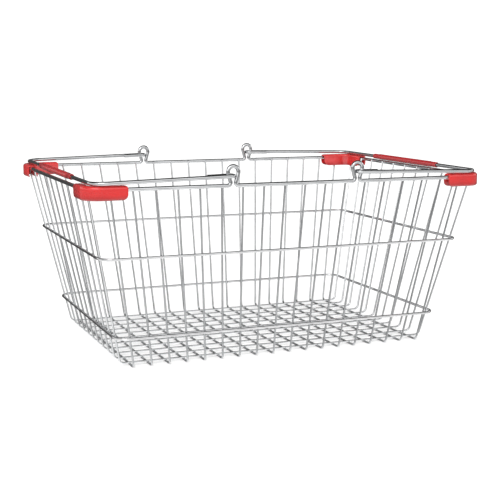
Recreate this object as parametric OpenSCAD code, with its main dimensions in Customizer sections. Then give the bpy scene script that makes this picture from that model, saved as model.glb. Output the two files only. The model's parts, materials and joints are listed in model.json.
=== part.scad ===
// Wire hand basket with two folding bail handles.
// The origin is the middle of the base on the surface it stands on: +X along the length, +Z up.

/* [Rim] */
// Length of the rim between the wire centres of its short sides
rim_length = 430; // [400:1:460]
// Width of the rim between the wire centres of its long sides
rim_width = 305; // [290:1:330]
// Height of the rim wire's centre above the surface
rim_height = 184; // [160:1:220]
// Radius of the rim's four corners, at the wire centre
rim_corner_r = 14; // [12:0.5:16]
// Thickness of the rim wire
rim_wire_d = 4; // [3.6:0.1:4.2]

/* [Base and walls] */
// Length of the base between the ends where the lengthwise wires turn up
base_length = 346; // [330:1:360]
// Width of the base between the ends where the crosswise wires turn up
base_width = 237; // [225:1:250]
// Thickness of the wires that make the base and the walls
wall_wire_d = 2; // [1.6:0.1:2.4]
// Inside bend of those wires, at the wire centre
wall_bend_r = 5.5; // [4:0.5:8]
// Number of crosswise wires
cross_wire_count = 18; // [14:1:18]
// Spread of the crosswise wires across the base
cross_base_span = 325; // [300:1:330]
// Spread of the crosswise wires along the rim
cross_top_span = 385; // [360:1:390]
// Number of lengthwise wires
long_wire_count = 11; // [8:1:11]
// Spread of the lengthwise wires across the base
long_base_span = 211; // [190:1:215]
// Spread of the lengthwise wires along the rim
long_top_span = 280; // [250:1:280]
// Depth that two welded wires sink into each other
weld_sink = 0.15; // [0.05:0.05:0.2]

/* [Hoops] */
// Thickness of the two hoops round the walls
hoop_wire_d = 2.8; // [2.4:0.1:3.2]
// Height of the upper hoop's centre
upper_hoop_height = 115; // [100:1:130]
// Height of the lower hoop's centre
lower_hoop_height = 32; // [25:1:45]
// Corner radius of the hoops, at the wire centre
hoop_corner_r = 14.5; // [12:0.5:15]

/* [Handle eyes] */
// Distance between the two eyes on one long side
eye_spacing = 136.8; // [120:0.2:150]
// Height of an eye's loop centre above the rim wire's centre
eye_height = 13.6; // [13:0.1:15]
// Radius of an eye's loop, at the wire centre
eye_loop_r = 5.5; // [5:0.1:6.5]
// Distance from an eye's middle to its legs' centres at the neck
eye_neck = 2.75; // [2.4:0.05:3]
// Radius of the bends from an eye into the rim
eye_foot_r = 3.2; // [2.6:0.1:4]

/* [Handles] */
// Thickness of the handle wire
handle_wire_d = 4; // [3.6:0.1:4.2]
// Distance from a handle's pivot to the middle of its grip
handle_reach = 142.6; // [130:0.2:146]
// Radius of a handle's outer corners
handle_corner_r = 15; // [10:0.5:20]
// Height of the pivots above the rim wire's centre
pivot_height = 9.7; // [9.4:0.1:10.4]
// Distance from an eye's plane to the hook wire on each side of it
hook_half_gap = 4.4; // [4.3:0.05:5]
// Radius of the two bends of a hook
hook_bend_r = 3; // [2.6:0.1:3.4]
// Length of the wire that a hook turns back beside the arm
hook_return = 25; // [15:1:30]

/* [Grips] */
// Length of a grip
grip_length = 148; // [100:1:160]
// Outer width of a grip over its finger ribs
grip_d = 6.8; // [6.6:0.1:8.4]
// Depth of the grooves between the finger ribs
grip_groove = 0.45; // [0.2:0.05:0.6]
// Number of finger ribs
grip_ribs = 28; // [10:1:30]
// Width of the plain collar at each end of a grip
grip_collar_d = 6.1; // [5.8:0.1:6.4]
// Length of each collar
grip_collar_length = 14; // [6:1:16]

/* [Corner caps] */
// Height of a cap's top above the rim wire's centre
cap_top = 4; // [3.6:0.1:4.2]
// Depth of a cap's lower edge below the rim wire's centre
cap_drop = 10; // [8:0.5:12]
// Wall thickness of a cap
cap_wall = 1.8; // [1.4:0.1:2]
// Length of a cap's straight leg past the rim's corner
cap_leg = 25; // [15:1:30]
// Radius of a cap's long upper edges
cap_edge_r = 3; // [2:0.1:3.2]
// Radius of the lower corners at a cap's ends
cap_end_r = 6; // [2:0.5:7]
// Radius of the upper corners at a cap's ends
cap_end_top_r = 2.5; // [1:0.5:3]

/* [Hidden] */
$fn = 48;
rim_r = rim_wire_d / 2;
wall_r = wall_wire_d / 2;
hoop_r = hoop_wire_d / 2;
handle_r = handle_wire_d / 2;
bend_fn = 40;

// A straight wire runs this far into the bend at its end
join_depth = 0.2;
// A bend is this much thicker than the straight wire, so the straight end closes inside it
join_swell = 0.03;

// Wire centres in the base: the lengthwise wires lie on the crosswise ones
cross_z = wall_r;
long_z = cross_z + wall_wire_d - weld_sink;

// Where the wall wires meet the inside of the rim
wall_inset = rim_r + wall_r - weld_sink;
wall_top_x = rim_length / 2 - wall_inset;
wall_top_y = rim_width / 2 - wall_inset;
// The wall wires end this far above the rim wire's centre
wall_end_rise = 0.4;

// Eye outline: straight legs lean inwards and touch the loop and the foot bends
eye_x = eye_spacing / 2;
eye_foot_x = eye_neck + eye_foot_r;
eye_centres = norm([eye_foot_x, eye_height - eye_foot_r]);
eye_lean = atan2(eye_height - eye_foot_r, eye_foot_x) - acos((eye_loop_r + eye_foot_r) / eye_centres);

// Handle at rest: its far end lies just above the corner caps
rest_gap = 0.3;
handle_arm_y = rim_width / 2 + hook_half_gap;
handle_drop = pivot_height - (cap_top + rest_gap + handle_r);
handle_tilt = asin(handle_drop / handle_reach);

// Cap section, measured from the rim wire's centre: the inner wall follows the slope of the walls
cap_slope = 0.22;
cap_out = rim_r + 0.2 + cap_wall;
cap_cavity_in = wall_inset + wall_r + 0.45;
cap_in = cap_cavity_in + cap_wall;
cap_seat = rim_r - 0.05;
cap_lip = 1.5;
cap_lower_r = 2.5;

grip_bore_gap = 0.05;
grip_end_r = 1;

function two_digits(n) = str(n < 10 ? "0" : "", n);
function cross_name(n) = str("cross_wire_", two_digits(n));
function long_name(n) = str("long_wire_", two_digits(n));
function spread(span, count, n) = -span / 2 + span * (n - 1) / (count - 1);
function wall_x(z) = base_length / 2 + (wall_top_x - base_length / 2) * (z - long_z) / (rim_height - long_z);
function wall_y(z) = base_width / 2 + (wall_top_y - base_width / 2) * (z - cross_z) / (rim_height - cross_z);

CORNERS = [
    ["corner_cap_front_left", 1, 1],
    ["corner_cap_front_right", 0, 1],
    ["corner_cap_back_left", 1, 0],
    ["corner_cap_back_right", 0, 0]
];

// Straight wire between two points, running a little past both
module rod(from, to, d) {
    v = to - from;
    translate(from)
        rotate([0, acos(v[2] / norm(v)), atan2(v[1], v[0])])
            translate([0, 0, -join_depth])
                cylinder(h = norm(v) + 2 * join_depth, d = d);
}

// Bent wire in the XY plane round the origin, from angle start through angle sweep
module bend(r, start, sweep, d) {
    rotate([0, 0, start])
        rotate_extrude(angle = sweep, $fn = bend_fn * 2)
            translate([r, 0])
                circle(d = d + join_swell, $fn = bend_fn);
}

// Draws its children in all four quadrants
module four_quadrants() {
    for (mx = [0, 1])
        for (my = [0, 1])
            mirror([mx, 0, 0])
                mirror([0, my, 0])
                    children();
}

// One wire bent to a U in the XZ plane: a base on z = 0 and two legs that lean out
module u_wire(base_half, top_half, height) {
    lean = atan((top_half - base_half) / height);
    turn = 90 - lean;
    bend_x = base_half - wall_bend_r * tan(turn / 2);
    leg_foot = [bend_x + wall_bend_r * cos(lean), 0, wall_bend_r * (1 - sin(lean))];
    rod([-bend_x, 0, 0], [bend_x, 0, 0], wall_wire_d);
    for (side = [0, 1])
        mirror([side, 0, 0]) {
            translate([bend_x, 0, wall_bend_r])
                rotate([90, 0, 0])
                    bend(wall_bend_r, -90, turn, wall_wire_d);
            rod(leg_foot, [top_half + wall_end_rise * tan(lean), 0, height + wall_end_rise], wall_wire_d);
        }
}

// Wire that runs from the front wall under the base to the back wall
module cross_wire(n) {
    base_x = spread(cross_base_span, cross_wire_count, n);
    top_x = spread(cross_top_span, cross_wire_count, n);
    rise = rim_height - cross_z;
    tilt = atan((top_x - base_x) / rise);
    color("silver")
        translate([base_x, 0, cross_z])
            rotate([0, tilt, 0])
                rotate([0, 0, 90])
                    u_wire(base_width / 2, wall_top_y, rise / cos(tilt));
}

// Wire that runs from the left wall along the base to the right wall
module long_wire(n) {
    base_y = spread(long_base_span, long_wire_count, n);
    top_y = spread(long_top_span, long_wire_count, n);
    rise = rim_height - long_z;
    tilt = atan((top_y - base_y) / rise);
    color("silver")
        translate([0, base_y, long_z])
            rotate([-tilt, 0, 0])
                u_wire(base_length / 2, wall_top_x, rise / cos(tilt));
}

// Closed hoop with round corners, outside the walls
module hoop(z) {
    half_x = wall_x(z) + wall_r + hoop_r - weld_sink;
    half_y = wall_y(z) + wall_r + hoop_r - weld_sink;
    straight_x = half_x - hoop_corner_r;
    straight_y = half_y - hoop_corner_r;
    color("silver")
        translate([0, 0, z]) {
            four_quadrants()
                translate([straight_x, straight_y, 0])
                    bend(hoop_corner_r, 0, 90, hoop_wire_d);
            for (side = [-1, 1]) {
                rod([-straight_x, side * half_y, 0], [straight_x, side * half_y, 0], hoop_wire_d);
                rod([side * half_x, -straight_y, 0], [side * half_x, straight_y, 0], hoop_wire_d);
            }
        }
}

// Eye bent up from the rim: a loop on two leaning legs, in the XZ plane
module eye() {
    rotate([90, 0, 0])
        translate([0, eye_height, 0])
            bend(eye_loop_r, -eye_lean, 180 + 2 * eye_lean, rim_wire_d);
    for (side = [0, 1])
        mirror([side, 0, 0]) {
            rod(
                [eye_loop_r * cos(eye_lean), 0, eye_height - eye_loop_r * sin(eye_lean)],
                [eye_foot_x - eye_foot_r * cos(eye_lean), 0, eye_foot_r * (1 + sin(eye_lean))],
                rim_wire_d
            );
            rotate([90, 0, 0])
                translate([eye_foot_x, eye_foot_r, 0])
                    bend(eye_foot_r, 180 - eye_lean, 90 + eye_lean, rim_wire_d);
        }
}

// Rim: one closed wire with two eyes in each long side
module rim_frame() {
    straight_x = rim_length / 2 - rim_corner_r;
    straight_y = rim_width / 2 - rim_corner_r;
    color("silver")
        translate([0, 0, rim_height]) {
            four_quadrants()
                translate([straight_x, straight_y, 0])
                    bend(rim_corner_r, 0, 90, rim_wire_d);
            for (side = [-1, 1])
                rod(
                    [side * rim_length / 2, -straight_y, 0],
                    [side * rim_length / 2, straight_y, 0],
                    rim_wire_d
                );
            for (side = [-1, 1])
                translate([0, side * rim_width / 2, 0]) {
                    rod([-eye_x + eye_foot_x, 0, 0], [eye_x - eye_foot_x, 0, 0], rim_wire_d);
                    for (end = [0, 1])
                        mirror([end, 0, 0]) {
                            rod([eye_x + eye_foot_x, 0, 0], [straight_x, 0, 0], rim_wire_d);
                            translate([eye_x, 0, 0])
                                eye();
                        }
                }
        }
}

// Outside of a cap's section: X is away from the basket, Y is up
module cap_outside() {
    foot_in = cap_in + cap_slope * cap_drop;
    translate([cap_out - cap_edge_r, cap_top - cap_edge_r])
        circle(r = cap_edge_r);
    translate([cap_edge_r - cap_in, cap_top - cap_edge_r])
        circle(r = cap_edge_r);
    translate([cap_out - cap_lower_r, cap_lower_r - cap_drop])
        circle(r = cap_lower_r);
    translate([cap_edge_r - cap_in, 0])
        square([cap_out + cap_in - 2 * cap_edge_r, cap_top]);
    polygon([
        [cap_out, cap_top - cap_edge_r],
        [cap_out, cap_lower_r - cap_drop],
        [cap_out - cap_lower_r, cap_lower_r - cap_drop],
        [cap_out - cap_lower_r, -cap_drop],
        [-foot_in, -cap_drop],
        [-cap_in, 0],
        [-cap_in, cap_top - cap_edge_r]
    ]);
}

// Hollow of a cap's section, open below past a snap lip
module cap_hollow() {
    hollow_out = cap_out - cap_wall;
    past = cap_drop + 1;
    polygon([
        [hollow_out, cap_seat],
        [hollow_out, cap_wall - cap_drop],
        [hollow_out - cap_lip, cap_wall - cap_drop],
        [hollow_out - cap_lip, -past],
        [-cap_cavity_in - cap_slope * past, -past],
        [-cap_cavity_in, 0],
        [-cap_cavity_in, cap_seat]
    ]);
}

module cap_section() {
    difference() {
        cap_outside();
        cap_hollow();
    }
}

// Cuts round lower and upper corners at the end of a cap's leg that ends on y = -cap_leg
module cap_end_cut() {
    reach = cap_out + cap_in + cap_slope * cap_drop + 2;
    difference() {
        translate([-reach, -cap_leg - 1, -cap_drop - 1])
            cube([2 * reach, cap_end_r + 1, cap_end_r + 1]);
        translate([-reach - 1, cap_end_r - cap_leg, cap_end_r - cap_drop])
            rotate([0, 90, 0])
                cylinder(h = 2 * reach + 2, r = cap_end_r);
    }
    difference() {
        translate([-reach, -cap_leg - 1, cap_top - cap_end_top_r])
            cube([2 * reach, cap_end_top_r + 1, cap_end_top_r + 1]);
        translate([-reach - 1, cap_end_top_r - cap_leg, cap_top - cap_end_top_r])
            rotate([0, 90, 0])
                cylinder(h = 2 * reach + 2, r = cap_end_top_r);
    }
}

// Cap for the back right corner, with the rim's corner centre as its origin
module cap() {
    difference() {
        union() {
            rotate_extrude(angle = 90, $fn = 96)
                translate([rim_corner_r, 0])
                    cap_section();
            translate([rim_corner_r, 0, 0])
                rotate([90, 0, 0])
                    linear_extrude(cap_leg)
                        cap_section();
            translate([-cap_leg, rim_corner_r, 0])
                rotate([90, 0, 90])
                    linear_extrude(cap_leg)
                        cap_section();
        }
        translate([rim_corner_r, 0, 0])
            cap_end_cut();
        translate([0, rim_corner_r, 0])
            rotate([0, 0, -90])
                cap_end_cut();
    }
}

module corner_cap(mirror_x, mirror_y) {
    color([0.86, 0.16, 0.16])
        mirror([mirror_x, 0, 0])
            mirror([0, mirror_y, 0])
                translate([rim_length / 2 - rim_corner_r, rim_width / 2 - rim_corner_r, rim_height])
                    cap();
}

// Places a handle that is drawn flat, with its pivot on the Y axis and its grip towards +X
module at_right_pivot() {
    translate([eye_x, 0, rim_height + pivot_height])
        rotate([0, handle_tilt, 0])
            children();
}

// Hook at one end of a handle: the arm turns through the eye and back beside it
module hook() {
    outer_y = handle_arm_y;
    inner_y = handle_arm_y - 2 * hook_half_gap;
    translate([hook_bend_r, outer_y - hook_bend_r, 0])
        bend(hook_bend_r, 90, 90, handle_wire_d);
    rod([0, outer_y - hook_bend_r, 0], [0, inner_y + hook_bend_r, 0], handle_wire_d);
    translate([hook_bend_r, inner_y + hook_bend_r, 0])
        bend(hook_bend_r, 180, 90, handle_wire_d);
    rod([hook_bend_r, inner_y, 0], [hook_return, inner_y, 0], handle_wire_d);
}

// Handle wire drawn flat: two arms, two corners, the wire inside the grip and two hooks
module handle_wire() {
    corner_x = handle_reach - handle_corner_r;
    corner_y = handle_arm_y - handle_corner_r;
    rod([handle_reach, -corner_y, 0], [handle_reach, corner_y, 0], handle_wire_d);
    for (side = [0, 1])
        mirror([0, side, 0]) {
            translate([corner_x, corner_y, 0])
                bend(handle_corner_r, 0, 90, handle_wire_d);
            rod([hook_bend_r, handle_arm_y, 0], [corner_x, handle_arm_y, 0], handle_wire_d);
            hook();
        }
}

// Grip sleeve drawn flat: collars at the ends and finger ribs between them
module grip_sleeve() {
    half = grip_length / 2;
    collar_r = grip_collar_d / 2;
    rib_r = grip_d / 2;
    groove_r = rib_r - grip_groove;
    ribs_from = grip_collar_length + 1 - half;
    pitch = -2 * ribs_from / grip_ribs;
    rib_points = [
        for (n = [0:grip_ribs - 1])
            for (p = [[0.15, groove_r], [0.35, rib_r], [0.65, rib_r], [0.85, groove_r]])
                [p[1], ribs_from + (n + p[0]) * pitch]
    ];
    translate([handle_reach, 0, 0])
        rotate([-90, 0, 0])
            rotate_extrude($fn = bend_fn * 2)
                polygon(concat(
                    [
                        [handle_r + grip_bore_gap, -half],
                        [collar_r - grip_end_r, -half],
                        [collar_r, grip_end_r - half],
                        [collar_r, grip_collar_length - half],
                        [groove_r, ribs_from]
                    ],
                    rib_points,
                    [
                        [groove_r, -ribs_from],
                        [collar_r, half - grip_collar_length],
                        [collar_r, half - grip_end_r],
                        [collar_r - grip_end_r, half],
                        [handle_r + grip_bore_gap, half]
                    ]
                ));
}

module right_handle() {
    color("silver")
        at_right_pivot()
            handle_wire();
}

module left_handle() {
    color("silver")
        mirror([1, 0, 0])
            at_right_pivot()
                handle_wire();
}

module right_grip() {
    color([0.86, 0.16, 0.16])
        at_right_pivot()
            grip_sleeve();
}

module left_grip() {
    color([0.86, 0.16, 0.16])
        mirror([1, 0, 0])
            at_right_pivot()
                grip_sleeve();
}

for (n = [1:cross_wire_count]) cross_wire(n);
for (n = [1:long_wire_count]) long_wire(n);
rim_frame();
hoop(upper_hoop_height);  // upper_hoop
hoop(lower_hoop_height);  // lower_hoop
for (corner = CORNERS) corner_cap(corner[1], corner[2]);
left_handle();
left_grip();
right_handle();
right_grip();
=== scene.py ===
import json
import math

import bmesh
import bpy
from mathutils import Matrix, Vector


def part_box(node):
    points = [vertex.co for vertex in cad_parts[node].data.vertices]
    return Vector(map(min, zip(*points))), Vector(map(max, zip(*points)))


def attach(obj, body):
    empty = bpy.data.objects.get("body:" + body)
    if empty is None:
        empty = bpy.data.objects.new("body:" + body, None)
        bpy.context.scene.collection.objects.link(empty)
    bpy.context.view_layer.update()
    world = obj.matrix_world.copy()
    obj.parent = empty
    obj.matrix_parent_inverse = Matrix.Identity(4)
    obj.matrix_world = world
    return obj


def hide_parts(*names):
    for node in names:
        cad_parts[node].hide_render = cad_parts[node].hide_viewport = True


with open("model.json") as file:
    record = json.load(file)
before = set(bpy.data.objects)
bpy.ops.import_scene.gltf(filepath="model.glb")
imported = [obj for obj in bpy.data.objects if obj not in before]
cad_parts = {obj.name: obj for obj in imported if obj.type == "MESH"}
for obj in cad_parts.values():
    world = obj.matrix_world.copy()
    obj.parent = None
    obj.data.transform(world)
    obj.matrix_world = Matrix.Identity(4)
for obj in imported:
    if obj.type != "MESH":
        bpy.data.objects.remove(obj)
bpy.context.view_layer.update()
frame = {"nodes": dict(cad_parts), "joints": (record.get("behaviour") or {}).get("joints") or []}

nodes = frame["nodes"]
MM = 0.001


# ---------------------------------------------------------------- camera

CAMERA_AZIMUTH = math.radians(22.09)
CAMERA_ELEVATION = math.radians(9.01)
CAMERA_ROLL = math.radians(0.11)
CAMERA_DISTANCE = 1.2787
CAMERA_AIM = (0.0114, 0.0, 0.0927)
LENS_MM = 80.24
SENSOR_MM = 36
CLIP_START = 0.05
CLIP_END = 50


def make_camera():
    data = bpy.data.cameras.new("camera")
    data.lens = LENS_MM
    data.sensor_width = SENSOR_MM
    data.clip_start = CLIP_START
    data.clip_end = CLIP_END
    camera = bpy.data.objects.new("camera", data)
    bpy.context.scene.collection.objects.link(camera)
    look = Vector((
        math.sin(CAMERA_AZIMUTH) * math.cos(CAMERA_ELEVATION),
        math.cos(CAMERA_AZIMUTH) * math.cos(CAMERA_ELEVATION),
        -math.sin(CAMERA_ELEVATION),
    ))
    camera.location = Vector(CAMERA_AIM) - look * CAMERA_DISTANCE
    roll = Matrix.Rotation(CAMERA_ROLL, 3, "Z").to_quaternion()
    camera.rotation_euler = (look.to_track_quat("-Z", "Y") @ roll).to_euler()
    bpy.context.scene.camera = camera


make_camera()


# ---------------------------------------------------------------- materials

class Nodes:
    """Short ways to add and join the nodes of one material."""

    def __init__(self, material):
        material.use_nodes = True
        self.tree = material.node_tree
        self.shader = self.tree.nodes["Principled BSDF"]
        self.position = self.add("ShaderNodeTexCoord").outputs["Object"]

    def add(self, kind, **settings):
        node = self.tree.nodes.new(kind)
        for key, value in settings.items():
            setattr(node, key, value)
        return node

    def join(self, source, target):
        self.tree.links.new(source, target)

    def place(self, scale):
        """The point being shaded, in the object's own frame, stretched by scale."""
        coordinates = self.add("ShaderNodeTexCoord")
        mapping = self.add("ShaderNodeMapping")
        mapping.inputs["Scale"].default_value = scale
        self.join(coordinates.outputs["Object"], mapping.inputs["Vector"])
        return mapping.outputs["Vector"]

    def noise(self, scale, detail=3.0, stretch=(1, 1, 1), roughness=0.5):
        texture = self.add("ShaderNodeTexNoise")
        texture.inputs["Scale"].default_value = scale
        texture.inputs["Detail"].default_value = detail
        texture.inputs["Roughness"].default_value = roughness
        self.join(self.place(stretch), texture.inputs["Vector"])
        return texture.outputs["Fac"]

    def ramp(self, source, low, high, to_low=0.0, to_high=1.0):
        node = self.add("ShaderNodeMapRange", interpolation_type="SMOOTHSTEP")
        for name, value in (
            ("From Min", low), ("From Max", high), ("To Min", to_low), ("To Max", to_high),
        ):
            node.inputs[name].default_value = value
        self.join(source, node.inputs["Value"])
        return node.outputs["Result"]

    def mix(self, factor, a, b):
        """Colour a where factor is 0, b where it is 1. Either may be a colour or a socket."""
        node = self.add("ShaderNodeMix", data_type="RGBA")
        self.join(factor, node.inputs["Factor"])
        for value, socket in ((a, node.inputs[6]), (b, node.inputs[7])):
            if isinstance(value, bpy.types.NodeSocket):
                self.join(value, socket)
            else:
                socket.default_value = (*value, 1)
        return node.outputs[2]

    def math(self, operation, a, b):
        node = self.add("ShaderNodeMath", operation=operation)
        for value, socket in ((a, node.inputs[0]), (b, node.inputs[1])):
            if isinstance(value, bpy.types.NodeSocket):
                self.join(value, socket)
            else:
                socket.default_value = value
        return node.outputs[0]

    def bump(self, height, distance, strength=1.0, under=None):
        node = self.add("ShaderNodeBump")
        node.inputs["Strength"].default_value = strength
        node.inputs["Distance"].default_value = distance
        self.join(height, node.inputs["Height"])
        if under is not None:
            self.join(under, node.inputs["Normal"])
        return node.outputs["Normal"]


# Noise scales are in features per metre, depths and heights in metres
CHROME_CLOUDS = 45
CHROME_DRAW_LINES = 900
CHROME_PITS = 2600
CHROME_DULLER = 0.82
CHROME_ROUGHNESS = (0.07, 0.15)
DRAW_LINE_DEPTH = 0.00002
PIT_DEPTH = 0.00003
# Painted shade where the basket stands: below these heights the wire is painted a darker grey in spots, and
# is made rougher as if rubbed
SHADE_AND_RUB_UP_TO = 0.0012
SHADE_AND_RUB_FULLY = 0.0004
PAINTED_FLOOR_SHADE = (0.42, 0.41, 0.40)
RUBBED_ROUGHER = 0.25


def chrome(name, colour, grain):
    """Bright plate over drawn wire, faintly clouded, with painted shade in spots where the basket stands,
    which is also rubbed rougher there. The draw lines run along the axis on which grain is small."""
    material = bpy.data.materials.new(name)
    n = Nodes(material)
    clouds = n.noise(CHROME_CLOUDS, 4)
    fine = n.noise(CHROME_DRAW_LINES, 2, grain)
    pits = n.noise(CHROME_PITS, 2)
    height = n.add("ShaderNodeSeparateXYZ")
    n.join(n.position, height.inputs["Vector"])
    low = n.ramp(height.outputs["Z"], SHADE_AND_RUB_UP_TO, SHADE_AND_RUB_FULLY)
    shade_and_rub = n.math("MULTIPLY", low, n.ramp(pits, 0.42, 0.6))
    dull = tuple(channel * CHROME_DULLER for channel in colour)
    plate = n.mix(n.ramp(clouds, 0.35, 0.7), colour, dull)
    # Painted shade on the lowest part of the wire, in spots
    plate_with_shade = n.mix(shade_and_rub, plate, PAINTED_FLOOR_SHADE)
    n.join(plate_with_shade, n.shader.inputs["Base Color"])
    gloss = n.ramp(clouds, 0.3, 0.75, *CHROME_ROUGHNESS)
    rougher = n.math("MULTIPLY", shade_and_rub, RUBBED_ROUGHER)
    n.join(n.math("ADD", gloss, rougher), n.shader.inputs["Roughness"])
    n.shader.inputs["Metallic"].default_value = 1.0
    drawn = n.bump(fine, DRAW_LINE_DEPTH, 0.5)
    pitted = n.bump(n.ramp(pits, 0.62, 0.72), PIT_DEPTH, 0.4, drawn)
    n.join(pitted, n.shader.inputs["Normal"])
    return material


RED_FLOW = 28
RED_GRAIN = 2400
RED_SCUFFS = 420
RED_DEEPER = 0.8
# How dark the painted shade on the lower edge becomes
RED_PAINTED_SHADE = 0.5
RED_SCUFFED = (0.80, 0.12, 0.10)
RED_SCUFF_SHARE = 0.15
RED_SCUFF_ROUGHER = 0.2
RED_ROUGHNESS = (0.20, 0.30)
RED_IOR = 1.5
RED_SUBSURFACE = 0.05
RED_SUBSURFACE_RADIUS = (0.002, 0.0006, 0.0005)
RED_COAT = 0.5
RED_COAT_ROUGHNESS = 0.16


def red_plastic(name, colour, grain_depth, foot, shade_height):
    """Moulded plastic: mould grain, slow flow shading, small scuffs, and painted shade that darkens the
    lower edge.
    """
    material = bpy.data.materials.new(name)
    n = Nodes(material)
    flow = n.noise(RED_FLOW, 3, (1, 1, 2.5))
    grain = n.noise(RED_GRAIN, 3)
    scuffs = n.ramp(n.noise(RED_SCUFFS, 5, (1, 1, 3), 0.7), 0.66, 0.78)
    deep = tuple(channel * RED_DEEPER for channel in colour)
    base = n.mix(n.ramp(flow, 0.3, 0.7), colour, deep)
    height = n.add("ShaderNodeSeparateXYZ")
    n.join(n.position, height.inputs["Vector"])
    # Painted shade: the colour grows darker towards the bottom edge
    lower = n.ramp(height.outputs["Z"], foot + shade_height, foot)
    lower_shade = n.math("MULTIPLY", lower, n.ramp(flow, 0.2, 0.6, 0.55, 0.85))
    shaded_base = n.mix(lower_shade, base, tuple(channel * RED_PAINTED_SHADE for channel in colour))
    scuffed = n.mix(n.math("MULTIPLY", scuffs, RED_SCUFF_SHARE), shaded_base, RED_SCUFFED)
    n.join(scuffed, n.shader.inputs["Base Color"])
    gloss = n.ramp(flow, 0.25, 0.8, *RED_ROUGHNESS)
    rougher = n.math("MULTIPLY", scuffs, RED_SCUFF_ROUGHER)
    n.join(n.math("ADD", gloss, rougher), n.shader.inputs["Roughness"])
    n.shader.inputs["IOR"].default_value = RED_IOR
    n.shader.inputs["Subsurface Weight"].default_value = RED_SUBSURFACE
    n.shader.inputs["Subsurface Radius"].default_value = RED_SUBSURFACE_RADIUS
    n.shader.inputs["Coat Weight"].default_value = RED_COAT
    n.shader.inputs["Coat Roughness"].default_value = RED_COAT_ROUGHNESS
    n.join(n.bump(grain, grain_depth, 0.6), n.shader.inputs["Normal"])
    return material


# The real object has one plating. These greys differ because each was fitted to the picture's tones, so they
# are painted light and shade: lit and shaded copies of one chrome
CROSS_CHROME = chrome("chrome_cross_wire", (0.54, 0.55, 0.56), (1, 0.04, 1))
LONG_CHROME = chrome("chrome_long_wire", (0.72, 0.73, 0.74), (0.04, 1, 1))
RIM_CHROME = chrome("chrome_rim", (0.66, 0.67, 0.68), (0.05, 1, 1))
HOOP_CHROME = chrome("chrome_hoop", (0.78, 0.78, 0.79), (0.05, 1, 1))
HANDLE_CHROME = chrome("chrome_handle", (0.60, 0.61, 0.62), (0.05, 1, 1))
WELD_CHROME = chrome("chrome_weld", (0.54, 0.55, 0.56), (1, 1, 1))
CAP_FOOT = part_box("corner_cap_front_left")[0].z
GRIP_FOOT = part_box("left_grip")[0].z
CAP_GRAIN = 0.00002
GRIP_GRAIN = 0.00003
# Heights of the painted shade on the lower edges of caps and grips
CAP_SHADE_HEIGHT = 6.5 * MM
GRIP_SHADE_HEIGHT = 4 * MM
CAP_RED = red_plastic("cap_red", (0.57, 0.022, 0.022), CAP_GRAIN, CAP_FOOT, CAP_SHADE_HEIGHT)
GRIP_RED = red_plastic("grip_red", (0.39, 0.013, 0.015), GRIP_GRAIN, GRIP_FOOT, GRIP_SHADE_HEIGHT)


def dress(name, material):
    nodes[name].data.materials.clear()
    nodes[name].data.materials.append(material)


for name in nodes:
    if name.startswith("cross_wire"):
        dress(name, CROSS_CHROME)
    elif name.startswith("long_wire"):
        dress(name, LONG_CHROME)
    elif name.endswith("hoop"):
        dress(name, HOOP_CHROME)
    elif name.endswith("handle"):
        dress(name, HANDLE_CHROME)
    elif name.endswith("grip"):
        dress(name, GRIP_RED)
    elif name.startswith("corner_cap"):
        dress(name, CAP_RED)
dress("rim_frame", RIM_CHROME)


# ---------------------------------------------------------------- meshes in code

def add_object(name, mesh, material, body):
    for polygon in mesh.polygons:
        polygon.use_smooth = True
    mesh.materials.append(material)
    piece = bpy.data.objects.new(name, mesh)
    bpy.context.scene.collection.objects.link(piece)
    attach(piece, body)
    return piece


def mesh_of(name, points, faces):
    mesh = bpy.data.meshes.new(name)
    mesh.from_pydata(points, [], faces)
    mesh.update()
    return mesh


def ring_faces(rings, size, closed):
    """Quads between rings of the same size, numbered one after another."""
    faces = []
    for ring in range(rings if closed else rings - 1):
        here = ring * size
        after = (ring + 1) % rings * size
        for step in range(size):
            beside = (step + 1) % size
            faces.append((here + step, here + beside, after + beside, after + step))
    return faces


def face_outward(mesh):
    work = bmesh.new()
    work.from_mesh(mesh)
    bmesh.ops.recalc_face_normals(work, faces=work.faces)
    work.to_mesh(mesh)
    work.free()


def rounded(corners, step=math.radians(11)):
    """Outline through (x, z, radius) corners, with an arc at each."""
    outline = []
    for index, (x, z, radius) in enumerate(corners):
        here = Vector((x, z))
        before = (Vector(corners[index - 1][:2]) - here).normalized()
        after = (Vector(corners[(index + 1) % len(corners)][:2]) - here).normalized()
        opening = before.angle(after)
        reach = radius / math.tan(opening / 2)
        centre = here + (before + after).normalized() * radius / math.sin(opening / 2)
        start = here + before * reach - centre
        sweep = start.angle_signed(here + after * reach - centre)
        count = max(1, round(abs(sweep) / step))
        for part in range(count + 1):
            outline.append(centre + Matrix.Rotation(-sweep * part / count, 2) @ start)
    return outline


# ---------------------------------------------------------------- grips

GRIP_COLLAR = 14 * MM
GRIP_COLLAR_R = 3.05 * MM
GRIP_BODY_R = 3.35 * MM
GRIP_GROOVE = 0.5 * MM
GRIP_RIBS = 28
GRIP_BORE_R = 2.06 * MM
GRIP_END_R = 0.8 * MM
GRIP_SEAM = 0.045 * MM
GRIP_AROUND = 72
GRIP_STEPS_PER_RIB = 10
# Between a collar and the first rib
GRIP_RIB_MARGIN = 1.5 * MM
GRIP_BORE_DEPTH = 3 * MM
GRIP_BORE_FLARE = 0.25 * MM
# Below 1 the grooves are narrow and the ribs wide
GRIP_WAVE_POWER = 0.6
# Sine of the angle round the grip at which the smooth spine underneath ends
GRIP_SPINE = (-0.75, -0.35)
GRIP_SEAM_WIDTH = 0.035


def smooth(low, high, value):
    part = min(1, max(0, (value - low) / (high - low)))
    return part * part * (3 - 2 * part)


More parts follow.
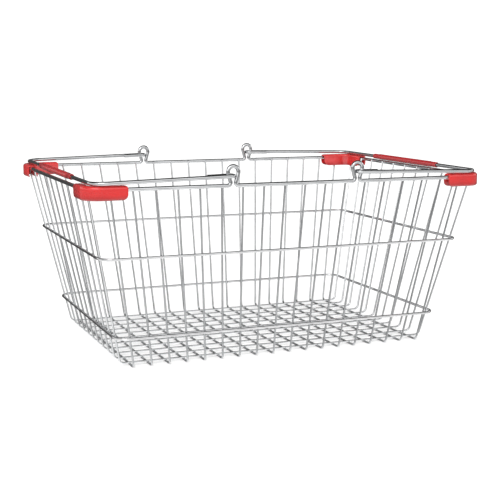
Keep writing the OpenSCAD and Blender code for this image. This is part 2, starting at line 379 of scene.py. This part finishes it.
def grip_radius(along, angle, half):
    """Outer radius of a grip at a distance from its middle. Ribs die out along the spine underneath."""
    from_end = half - abs(along)
    body = smooth(GRIP_COLLAR - 1.2 * MM, GRIP_COLLAR + 0.8 * MM, from_end)
    rib_length = 2 * (half - GRIP_COLLAR - GRIP_RIB_MARGIN) / GRIP_RIBS
    wave = abs(math.sin(math.pi * along / rib_length)) ** GRIP_WAVE_POWER
    inside_ribs = smooth(GRIP_COLLAR + 1.0 * MM, GRIP_COLLAR + 2.2 * MM, from_end)
    spine = smooth(*GRIP_SPINE, math.sin(angle))
    radius = GRIP_COLLAR_R + (GRIP_BODY_R - GRIP_COLLAR_R) * body
    radius -= GRIP_GROOVE * (1 - wave) * inside_ribs * spine
    if from_end < GRIP_END_R:
        radius -= GRIP_END_R - math.sqrt(GRIP_END_R ** 2 - (GRIP_END_R - from_end) ** 2)
    seam = math.exp(-(math.sin(angle) / GRIP_SEAM_WIDTH) ** 2)
    return radius + GRIP_SEAM * seam


def make_grip(node, body):
    low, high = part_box(node)
    middle = (low + high) / 2
    half = (high.y - low.y) / 2
    ribs_half = half - GRIP_COLLAR - GRIP_RIB_MARGIN
    stations = [half - GRIP_END_R * (1 - math.cos(math.radians(a))) for a in (0, 20, 40, 60, 75, 90)]
    stations += [half - GRIP_COLLAR * part for part in (0.2, 0.4, 0.6, 0.8, 0.9, 1.0, 1.06)]
    half_count = GRIP_RIBS * GRIP_STEPS_PER_RIB // 2
    stations += [ribs_half * (1 - part / half_count) for part in range(half_count)]
    stations = [-along for along in stations] + [0.0] + stations[::-1]
    points = []
    for along in stations:
        for step in range(GRIP_AROUND):
            angle = 2 * math.pi * step / GRIP_AROUND
            radius = grip_radius(along, angle, half)
            points.append(middle + Vector((radius * math.cos(angle), along, radius * math.sin(angle))))
    for along in (half, half - GRIP_BORE_DEPTH, GRIP_BORE_DEPTH - half, -half):
        flare = GRIP_BORE_FLARE if abs(along) == half else 0
        for step in range(GRIP_AROUND):
            angle = 2 * math.pi * step / GRIP_AROUND
            radius = GRIP_BORE_R + flare
            points.append(middle + Vector((radius * math.cos(angle), along, radius * math.sin(angle))))
    mesh = mesh_of(node + "_sleeve", points, ring_faces(len(stations) + 4, GRIP_AROUND, True))
    face_outward(mesh)
    grip = add_object(node + "_sleeve", mesh, GRIP_RED, body)
    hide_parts(node)


make_grip("left_grip", "left_bail")
make_grip("right_grip", "right_bail")


# ---------------------------------------------------------------- corner caps

RIM_R = 2 * MM
RIM_CORNER_R = 14 * MM
CAP_LEG = 25 * MM
CAP_END_R = 6 * MM
CAP_END_TOP_R = 2.5 * MM
CAP_DROP = 10
CAP_TOP = 4
# Cap section in millimetres from the rim wire's centre: x is away from the basket, z is up
CAP_CORNERS = (
    (-8.3, -CAP_DROP, 0.35),
    (-6.1, 0, 4),
    (-6.1, 4, 3),
    (3.97, 4, 3),
    (3.97, -2.35, 0.06),
    (3.83, -2.5, 0.06),
    (3.97, -2.65, 0.06),
    (3.97, -CAP_DROP, 2.5),
    (0.7, -CAP_DROP, 0.35),
    (0.7, -8.2, 0.3),
    (2.2, -8.2, 0.4),
    (2.2, 2.1, 0.7),
    (-4.3, 2.1, 0.7),
    (-4.3, 0, 2),
    (-6.5, -CAP_DROP, 0.3),
)
CAP_BEVEL = 0.35 * MM
# A ring of the cap this far before the corner keeps the leg's shading flat
CAP_STEADY = 1.5 * MM
CAP_ARC_STEPS = 12
CAP_BEVEL_STEPS = 3
CAP_BEVEL_ANGLE = math.radians(40)
CUTTER_REACH = 16 * MM
CUTTER_OVER = 1 * MM
CUTTER_STEPS = 8


def evaluated_mesh(piece):
    """The mesh with its modifiers applied; the piece keeps none."""
    bpy.context.view_layer.update()
    depsgraph = bpy.context.evaluated_depsgraph_get()
    mesh = bpy.data.meshes.new_from_object(piece.evaluated_get(depsgraph))
    piece.modifiers.clear()
    piece.data = mesh
    return mesh


def cap_sweep():
    """The cap's section swept round the back right corner, about the rim's corner centre."""
    section = rounded(CAP_CORNERS)
    path = [(Vector((RIM_CORNER_R, -along, 0)), 0.0) for along in (CAP_LEG, CAP_STEADY)]
    for part in range(CAP_ARC_STEPS + 1):
        angle = math.pi / 2 * part / CAP_ARC_STEPS
        path.append((Vector((math.cos(angle), math.sin(angle), 0)) * RIM_CORNER_R, angle))
    path += [(Vector((-along, RIM_CORNER_R, 0)), math.pi / 2) for along in (CAP_STEADY, CAP_LEG)]
    points = []
    for place, angle in path:
        out = Vector((math.cos(angle), math.sin(angle), 0))
        for point in section:
            points.append(place + out * point.x * MM + Vector((0, 0, point.y * MM)))
    size = len(section)
    faces = ring_faces(len(path), size, False)
    faces.append(tuple(range(size)))
    faces.append(tuple(range((len(path) - 1) * size, len(path) * size)))
    mesh = mesh_of("cap", points, faces)
    face_outward(mesh)
    return mesh


def end_cutter(turn, move, level, up, radius):
    """Bar with a concave edge that rounds a corner at a cap's end, where the cap's edge is at this level."""
    over = CUTTER_OVER
    profile = [(-over, -over), (radius, -over), (radius, 0)]
    for part in range(1, CUTTER_STEPS + 1):
        angle = math.pi / 2 * part / CUTTER_STEPS
        profile.append((radius * (1 - math.sin(angle)), radius * (1 - math.cos(angle))))
    profile.append((-over, radius))
    points = []
    for side in (-CUTTER_REACH, CUTTER_REACH):
        points += [Vector((side, y - CAP_LEG, level + up * z)) for y, z in profile]
    size = len(profile)
    faces = ring_faces(2, size, False) + [tuple(range(size)), tuple(range(size, 2 * size))]
    mesh = mesh_of("cutter", points, faces)
    mesh.transform(Matrix.Translation(move) @ Matrix.Rotation(turn, 4, "Z"))
    face_outward(mesh)
    cutter = bpy.data.objects.new("cutter", mesh)
    bpy.context.scene.collection.objects.link(cutter)
    return cutter


def make_cap_mesh():
    piece = bpy.data.objects.new("cap", cap_sweep())
    bpy.context.scene.collection.objects.link(piece)
    cutters = []
    for turn, move in ((0, Vector((RIM_CORNER_R, 0, 0))), (-math.pi / 2, Vector((0, RIM_CORNER_R, 0)))):
        cutters.append(end_cutter(turn, move, -CAP_DROP * MM, 1, CAP_END_R))
        cutters.append(end_cutter(turn, move, CAP_TOP * MM, -1, CAP_END_TOP_R))
    for cutter in cutters:
        cut = piece.modifiers.new("cut", "BOOLEAN")
        cut.operation = "DIFFERENCE"
        cut.solver = "EXACT"
        cut.object = cutter
    soften = piece.modifiers.new("soften", "BEVEL")
    soften.width = CAP_BEVEL
    soften.segments = CAP_BEVEL_STEPS
    soften.limit_method = "ANGLE"
    soften.angle_limit = CAP_BEVEL_ANGLE
    mesh = evaluated_mesh(piece)
    for extra in [*cutters, piece]:
        bpy.data.objects.remove(extra)
    return mesh


def make_caps():
    template = make_cap_mesh()
    low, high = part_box("rim_frame")
    corner = Vector((high.x - RIM_R - RIM_CORNER_R, high.y - RIM_R - RIM_CORNER_R, low.z + RIM_R))
    for side, x in (("left", -1), ("right", 1)):
        for end, y in (("front", -1), ("back", 1)):
            mesh = template.copy()
            mesh.transform(Matrix.Diagonal((x, y, 1, 1)) @ Matrix.Translation(corner))
            if x * y < 0:
                mesh.flip_normals()
            node = f"corner_cap_{end}_{side}"
            cap = add_object(f"{node}_shell", mesh, CAP_RED, "basket")
            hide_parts(node)


make_caps()


# ---------------------------------------------------------------- welds and wire ends

WALL_R = 1 * MM
HOOP_R = 1.4 * MM
# How deep crossing wires sink into each other at a weld
SINK = 0.15 * MM
# The base's half sizes, over the centres of the outer wires, as in part.scad
BASE_HALF_X = 173 * MM
BASE_HALF_Y = 118.5 * MM
CROSS_Z = WALL_R
LONG_Z = CROSS_Z + 2 * WALL_R - SINK


def wire_ends(node, across):
    """Middle of a wall wire at the base and at the rim, along axis 0 or 1, from its mesh."""
    points = [vertex.co for vertex in nodes[node].data.vertices]
    lowest = min(point.z for point in points)
    highest = max(point.z for point in points)
    foot = [point[across] for point in points if point.z < lowest + WALL_R]
    top = [point[across] for point in points if point.z > highest - 0.5 * MM]
    return (min(foot) + max(foot)) / 2, (min(top) + max(top)) / 2


NUGGET_RINGS = 6
NUGGET_AROUND = 12
MERGE = 0.001 * MM


def blob(points, faces, place, along, out, sizes, turn):
    """Adds one squeezed weld nugget: long along a wire, flat towards out, a little uneven."""
    side = out.cross(along).normalized()
    along = side.cross(out).normalized()
    first = len(points)
    for ring in range(NUGGET_RINGS + 1):
        lift = math.pi * ring / NUGGET_RINGS
        for step in range(NUGGET_AROUND):
            angle = 2 * math.pi * step / NUGGET_AROUND
            uneven = 1 + 0.07 * math.sin(3 * angle + turn) + 0.05 * math.sin(2 * lift + 2 * turn)
            saddle = 1 + 0.16 * math.cos(4 * angle) * math.sin(lift)
            points.append(
                place
                + along * sizes[0] * math.sin(lift) * math.cos(angle) * uneven * saddle
                + side * sizes[1] * math.sin(lift) * math.sin(angle) * uneven * saddle
                + out * sizes[2] * math.cos(lift)
            )
    for face in ring_faces(NUGGET_RINGS + 1, NUGGET_AROUND, False):
        faces.append(tuple(first + index for index in face))


def join_welds(name, crossings):
    points = []
    faces = []
    for number, (place, along, out, sizes) in enumerate(crossings):
        blob(points, faces, place, along, out, sizes, number * 1.7)
    mesh = mesh_of(name, points, faces)
    work = bmesh.new()
    work.from_mesh(mesh)
    bmesh.ops.remove_doubles(work, verts=work.verts, dist=MERGE)
    bmesh.ops.recalc_face_normals(work, faces=work.faces)
    work.to_mesh(mesh)
    work.free()
    return add_object(name, mesh, WELD_CHROME, "basket")


X, Y, Z = Vector((1, 0, 0)), Vector((0, 1, 0)), Vector((0, 0, 1))
THIN_WELD = (1.35 * MM, 1.35 * MM, 0.5 * MM)
HOOP_WELD = (1.5 * MM, 1.4 * MM, 0.55 * MM)
RIM_WELD = (1.7 * MM, 1.4 * MM, 0.6 * MM)


def make_welds():
    cross = [wire_ends(f"cross_wire_{n:02d}", 0) for n in range(1, 19)]
    long = [wire_ends(f"long_wire_{n:02d}", 1) for n in range(1, 12)]
    low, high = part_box("rim_frame")
    rim_z = low.z + RIM_R
    top_x = high.x - 2 * RIM_R + SINK - WALL_R
    top_y = high.y - 2 * RIM_R + SINK - WALL_R

    base = [
        (Vector((x, y, (CROSS_Z + LONG_Z) / 2)), X, Z, THIN_WELD)
        for x, _ in cross
        for y, _ in long
    ]
    join_welds("base_welds", base)

    for hoop in ("upper_hoop", "lower_hoop"):
        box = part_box(hoop)
        z = (box[0].z + box[1].z) / 2
        welds = []
        for foot, top in cross:
            part = (z - CROSS_Z) / (rim_z - CROSS_Z)
            for side in (-1, 1):
                y = side * (BASE_HALF_Y + (top_y - BASE_HALF_Y) * part + WALL_R - SINK / 2)
                welds.append((Vector((foot + (top - foot) * part, y, z)), X, Y * side, HOOP_WELD))
        for foot, top in long:
            part = (z - LONG_Z) / (rim_z - LONG_Z)
            for side in (-1, 1):
                x = side * (BASE_HALF_X + (top_x - BASE_HALF_X) * part + WALL_R - SINK / 2)
                welds.append((Vector((x, foot + (top - foot) * part, z)), Y, X * side, HOOP_WELD))
        join_welds(hoop + "_welds", welds)

    welds = []
    for _, top in cross:
        for side in (-1, 1):
            welds.append((Vector((top, side * (top_y + WALL_R - SINK / 2), rim_z)), X, Y * side, RIM_WELD))
    for _, top in long:
        for side in (-1, 1):
            welds.append((Vector((side * (top_x + WALL_R - SINK / 2), top, rim_z)), Y, X * side, RIM_WELD))
    join_welds("rim_welds", welds)


make_welds()


BUTT_HALF = 1.1 * MM
BUTT_RISE = 0.16 * MM
BUTT_X = 31 * MM
WIRE_AROUND = 36


def make_butt_weld(name, node, radius):
    """The ring of flash where a hoop's two ends are joined, in the back and right of the middle."""
    low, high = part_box(node)
    centre = Vector((BUTT_X, high.y - radius, low.z + radius))
    profile = [
        (-BUTT_HALF, -0.05 * MM), (-BUTT_HALF * 0.55, BUTT_RISE * 0.5), (-BUTT_HALF * 0.2, BUTT_RISE),
        (BUTT_HALF * 0.15, BUTT_RISE * 0.85), (BUTT_HALF * 0.5, BUTT_RISE * 0.55), (BUTT_HALF, -0.05 * MM),
        (0, -0.3 * MM),
    ]
    points = []
    for along, rise in profile:
        for step in range(WIRE_AROUND):
            angle = 2 * math.pi * step / WIRE_AROUND
            reach = radius + rise * (1 + 0.2 * math.sin(5 * angle))
            points.append(centre + Vector((along, reach * math.cos(angle), reach * math.sin(angle))))
    mesh = mesh_of(name, points, ring_faces(len(profile), WIRE_AROUND, True))
    face_outward(mesh)
    add_object(name, mesh, WELD_CHROME, "basket")


make_butt_weld("upper_hoop_join", "upper_hoop", HOOP_R)
make_butt_weld("lower_hoop_join", "lower_hoop", HOOP_R)


# From the hinge's axis to the end that a hook turns back
HOOK_RETURN = 25.2 * MM
# From an eye's plane to that wire, on the inner side
HOOK_INSIDE = 4.4 * MM
# How far a folded handle dips below level
HANDLE_TILT = math.radians(1.366)


def make_hook_tip(name, joint, side, end):
    """The deburred end of the wire that a hook turns back. The profile is in millimetres."""
    pivot = Vector(joint["pos_m"])
    out = Vector((side * math.cos(HANDLE_TILT), 0, -math.sin(HANDLE_TILT)))
    rim_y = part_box("rim_frame")[1].y - RIM_R
    centre = Vector((pivot.x, end * (rim_y - HOOK_INSIDE), pivot.z)) + out * HOOK_RETURN
    up = Y.cross(out)
    profile = [
        (-0.6, 1.9), (-0.02, 1.985), (0.2, 1.86), (0.36, 1.6),
        (0.44, 1.1), (0.46, 0.5), (0.45, 0.02), (-0.6, 0.02),
    ]
    points = []
    for along, radius in profile:
        for step in range(WIRE_AROUND):
            angle = 2 * math.pi * step / WIRE_AROUND
            spoke = Y * math.cos(angle) + up * math.sin(angle)
            points.append(centre + out * along * MM + spoke * radius * MM)
    mesh = mesh_of(name, points, ring_faces(len(profile), WIRE_AROUND, True))
    face_outward(mesh)
    add_object(name, mesh, HANDLE_CHROME, joint["child"])


for joint in frame["joints"]:
    side = math.copysign(1, joint["pos_m"][0])
    for end, word in ((-1, "front"), (1, "back")):
        make_hook_tip(f"{joint['child']}_{word}_tip", joint, side, end)


# ---------------------------------------------------------------- stage and light

FLOOR_SIZE = 30
FLOOR_COLOUR = (0.95, 0.95, 0.95, 1)


def make_floor():
    bpy.ops.mesh.primitive_plane_add(size=FLOOR_SIZE, location=(0, 0, 0))
    floor = bpy.context.object
    floor.name = "floor"
    material = bpy.data.materials.new("floor")
    material.use_nodes = True
    shader = material.node_tree.nodes["Principled BSDF"]
    shader.inputs["Base Color"].default_value = FLOOR_COLOUR
    shader.inputs["Roughness"].default_value = 1.0
    shader.inputs["Specular IOR Level"].default_value = 0.0
    floor.data.materials.append(material)
    floor.visible_glossy = False


# Brightness of the studio by height above the horizon, as the sine of the elevation from -1 to 1.
# These bands and the walls and ceiling below were fitted to the picture's tones
SKY_BANDS = (
    (-1.00, 0.97),
    (-0.66, 0.96),
    (-0.48, 0.62),
    (-0.28, 0.46),
    (-0.06, 0.20),
    (0.04, 0.24),
    (0.11, 1.00),
    (1.00, 1.00),
)
# The same straight ahead of the camera
FAR_BANDS = (
    (-0.60, 0.30),
    (-0.46, 0.05),
    (0.24, 0.06),
    (0.30, 0.18),
    (0.37, 0.18),
    (0.42, 0.02),
)
# The far wall's lower edge by height, and its sides by how straight ahead a ray goes
FAR_FOOT = (-0.62, -0.56)
FAR_SIDES = (0.56, 0.66)
CEILING_FROM = 0.40
CEILING_BLUR = 0.04
# Where the dark ceiling ends behind the camera
CEILING_BACK = (-0.45, -0.33)
CEILING = (0.03, 0.03, 0.03, 1)
STUDIO_GAIN = 1.35
BACKDROP = 1.25
LEFT_FRONT = (-0.75, -0.66, 0)
SIDE_LIGHT = 0.7


def make_world():
    """Plain white to the camera, brighter at the left front for diffuse light. The wires mirror a pale room
    with a dark skyline, a dark far wall and a dark ceiling, set by the camera's azimuth."""
    world = bpy.data.worlds.new("studio")
    bpy.context.scene.world = world
    world.use_nodes = True
    tree = world.node_tree
    link = tree.links.new
    background = tree.nodes["Background"]
    coordinates = tree.nodes.new("ShaderNodeTexCoord")
    split = tree.nodes.new("ShaderNodeSeparateXYZ")
    link(coordinates.outputs["Generated"], split.inputs["Vector"])
    spread = tree.nodes.new("ShaderNodeMapRange")
    spread.inputs["From Min"].default_value = -1
    link(split.outputs["Z"], spread.inputs["Value"])

    def bands(levels):
        ramp = tree.nodes.new("ShaderNodeValToRGB")
        link(spread.outputs["Result"], ramp.inputs["Fac"])
        while len(ramp.color_ramp.elements) < len(levels):
            ramp.color_ramp.elements.new(0.5)
        for element, (height, bright) in zip(ramp.color_ramp.elements, levels):
            element.position = (height + 1) / 2
            element.color = (bright, bright, bright, 1)
        return ramp.outputs["Color"]

    def toward(direction):
        dot = tree.nodes.new("ShaderNodeVectorMath")
        dot.operation = "DOT_PRODUCT"
        dot.inputs[1].default_value = direction
        link(coordinates.outputs["Generated"], dot.inputs[0])
        return dot.outputs["Value"]

    def step_up(value, low, high, to_low=0.0, to_high=1.0):
        node = tree.nodes.new("ShaderNodeMapRange")
        for name, number in (
            ("From Min", low), ("From Max", high), ("To Min", to_low), ("To Max", to_high),
        ):
            node.inputs[name].default_value = number
        link(value, node.inputs["Value"])
        return node.outputs["Result"]

    def times(a, b):
        node = tree.nodes.new("ShaderNodeMath")
        node.operation = "MULTIPLY"
        link(a, node.inputs[0])
        link(b, node.inputs[1])
        return node.outputs[0]

    def mix(factor, a, b):
        node = tree.nodes.new("ShaderNodeMix")
        node.data_type = "RGBA"
        link(factor, node.inputs["Factor"])
        for value, socket in ((a, node.inputs[6]), (b, node.inputs[7])):
            if isinstance(value, tuple):
                socket.default_value = value
            else:
                link(value, socket)
        return node.outputs[2]

    ahead = toward((math.sin(CAMERA_AZIMUTH), math.cos(CAMERA_AZIMUTH), 0))
    low = times(
        step_up(split.outputs["Z"], *FAR_FOOT),
        step_up(split.outputs["Z"], CEILING_FROM, CEILING_FROM + CEILING_BLUR, 1, 0),
    )
    room = mix(times(step_up(ahead, *FAR_SIDES), low), bands(SKY_BANDS), bands(FAR_BANDS))
    high = step_up(split.outputs["Z"], CEILING_FROM, CEILING_FROM + CEILING_BLUR)
    room = mix(times(step_up(ahead, *CEILING_BACK), high), room, CEILING)

    rays = tree.nodes.new("ShaderNodeLightPath")
    glossy = rays.outputs["Is Glossy Ray"]
    link(step_up(glossy, 0, 1, BACKDROP, STUDIO_GAIN), background.inputs["Strength"])
    side = step_up(toward(LEFT_FRONT), -1, 1, 1 - SIDE_LIGHT, 1 + SIDE_LIGHT)
    plain = mix(rays.outputs["Is Diffuse Ray"], (1, 1, 1, 1), side)
    link(mix(glossy, plain, room), background.inputs["Color"])


KEY_WIDTH = 1.4
KEY_DEPTH = 1.0
KEY_WATTS = 11
KEY_PLACE = (-1.2, -1.6, 1.7)


def make_key_light():
    """One large soft box, high at the front left."""
    data = bpy.data.lights.new("key", "AREA")
    data.shape = "RECTANGLE"
    data.size = KEY_WIDTH
    data.size_y = KEY_DEPTH
    data.energy = KEY_WATTS
    light = bpy.data.objects.new("key", data)
    light.location = KEY_PLACE
    light.rotation_euler = (-Vector(KEY_PLACE)).to_track_quat("-Z", "Y").to_euler()
    bpy.context.scene.collection.objects.link(light)


make_key_light()
make_floor()
make_world()
bpy.context.scene.view_settings.view_transform = "Standard"
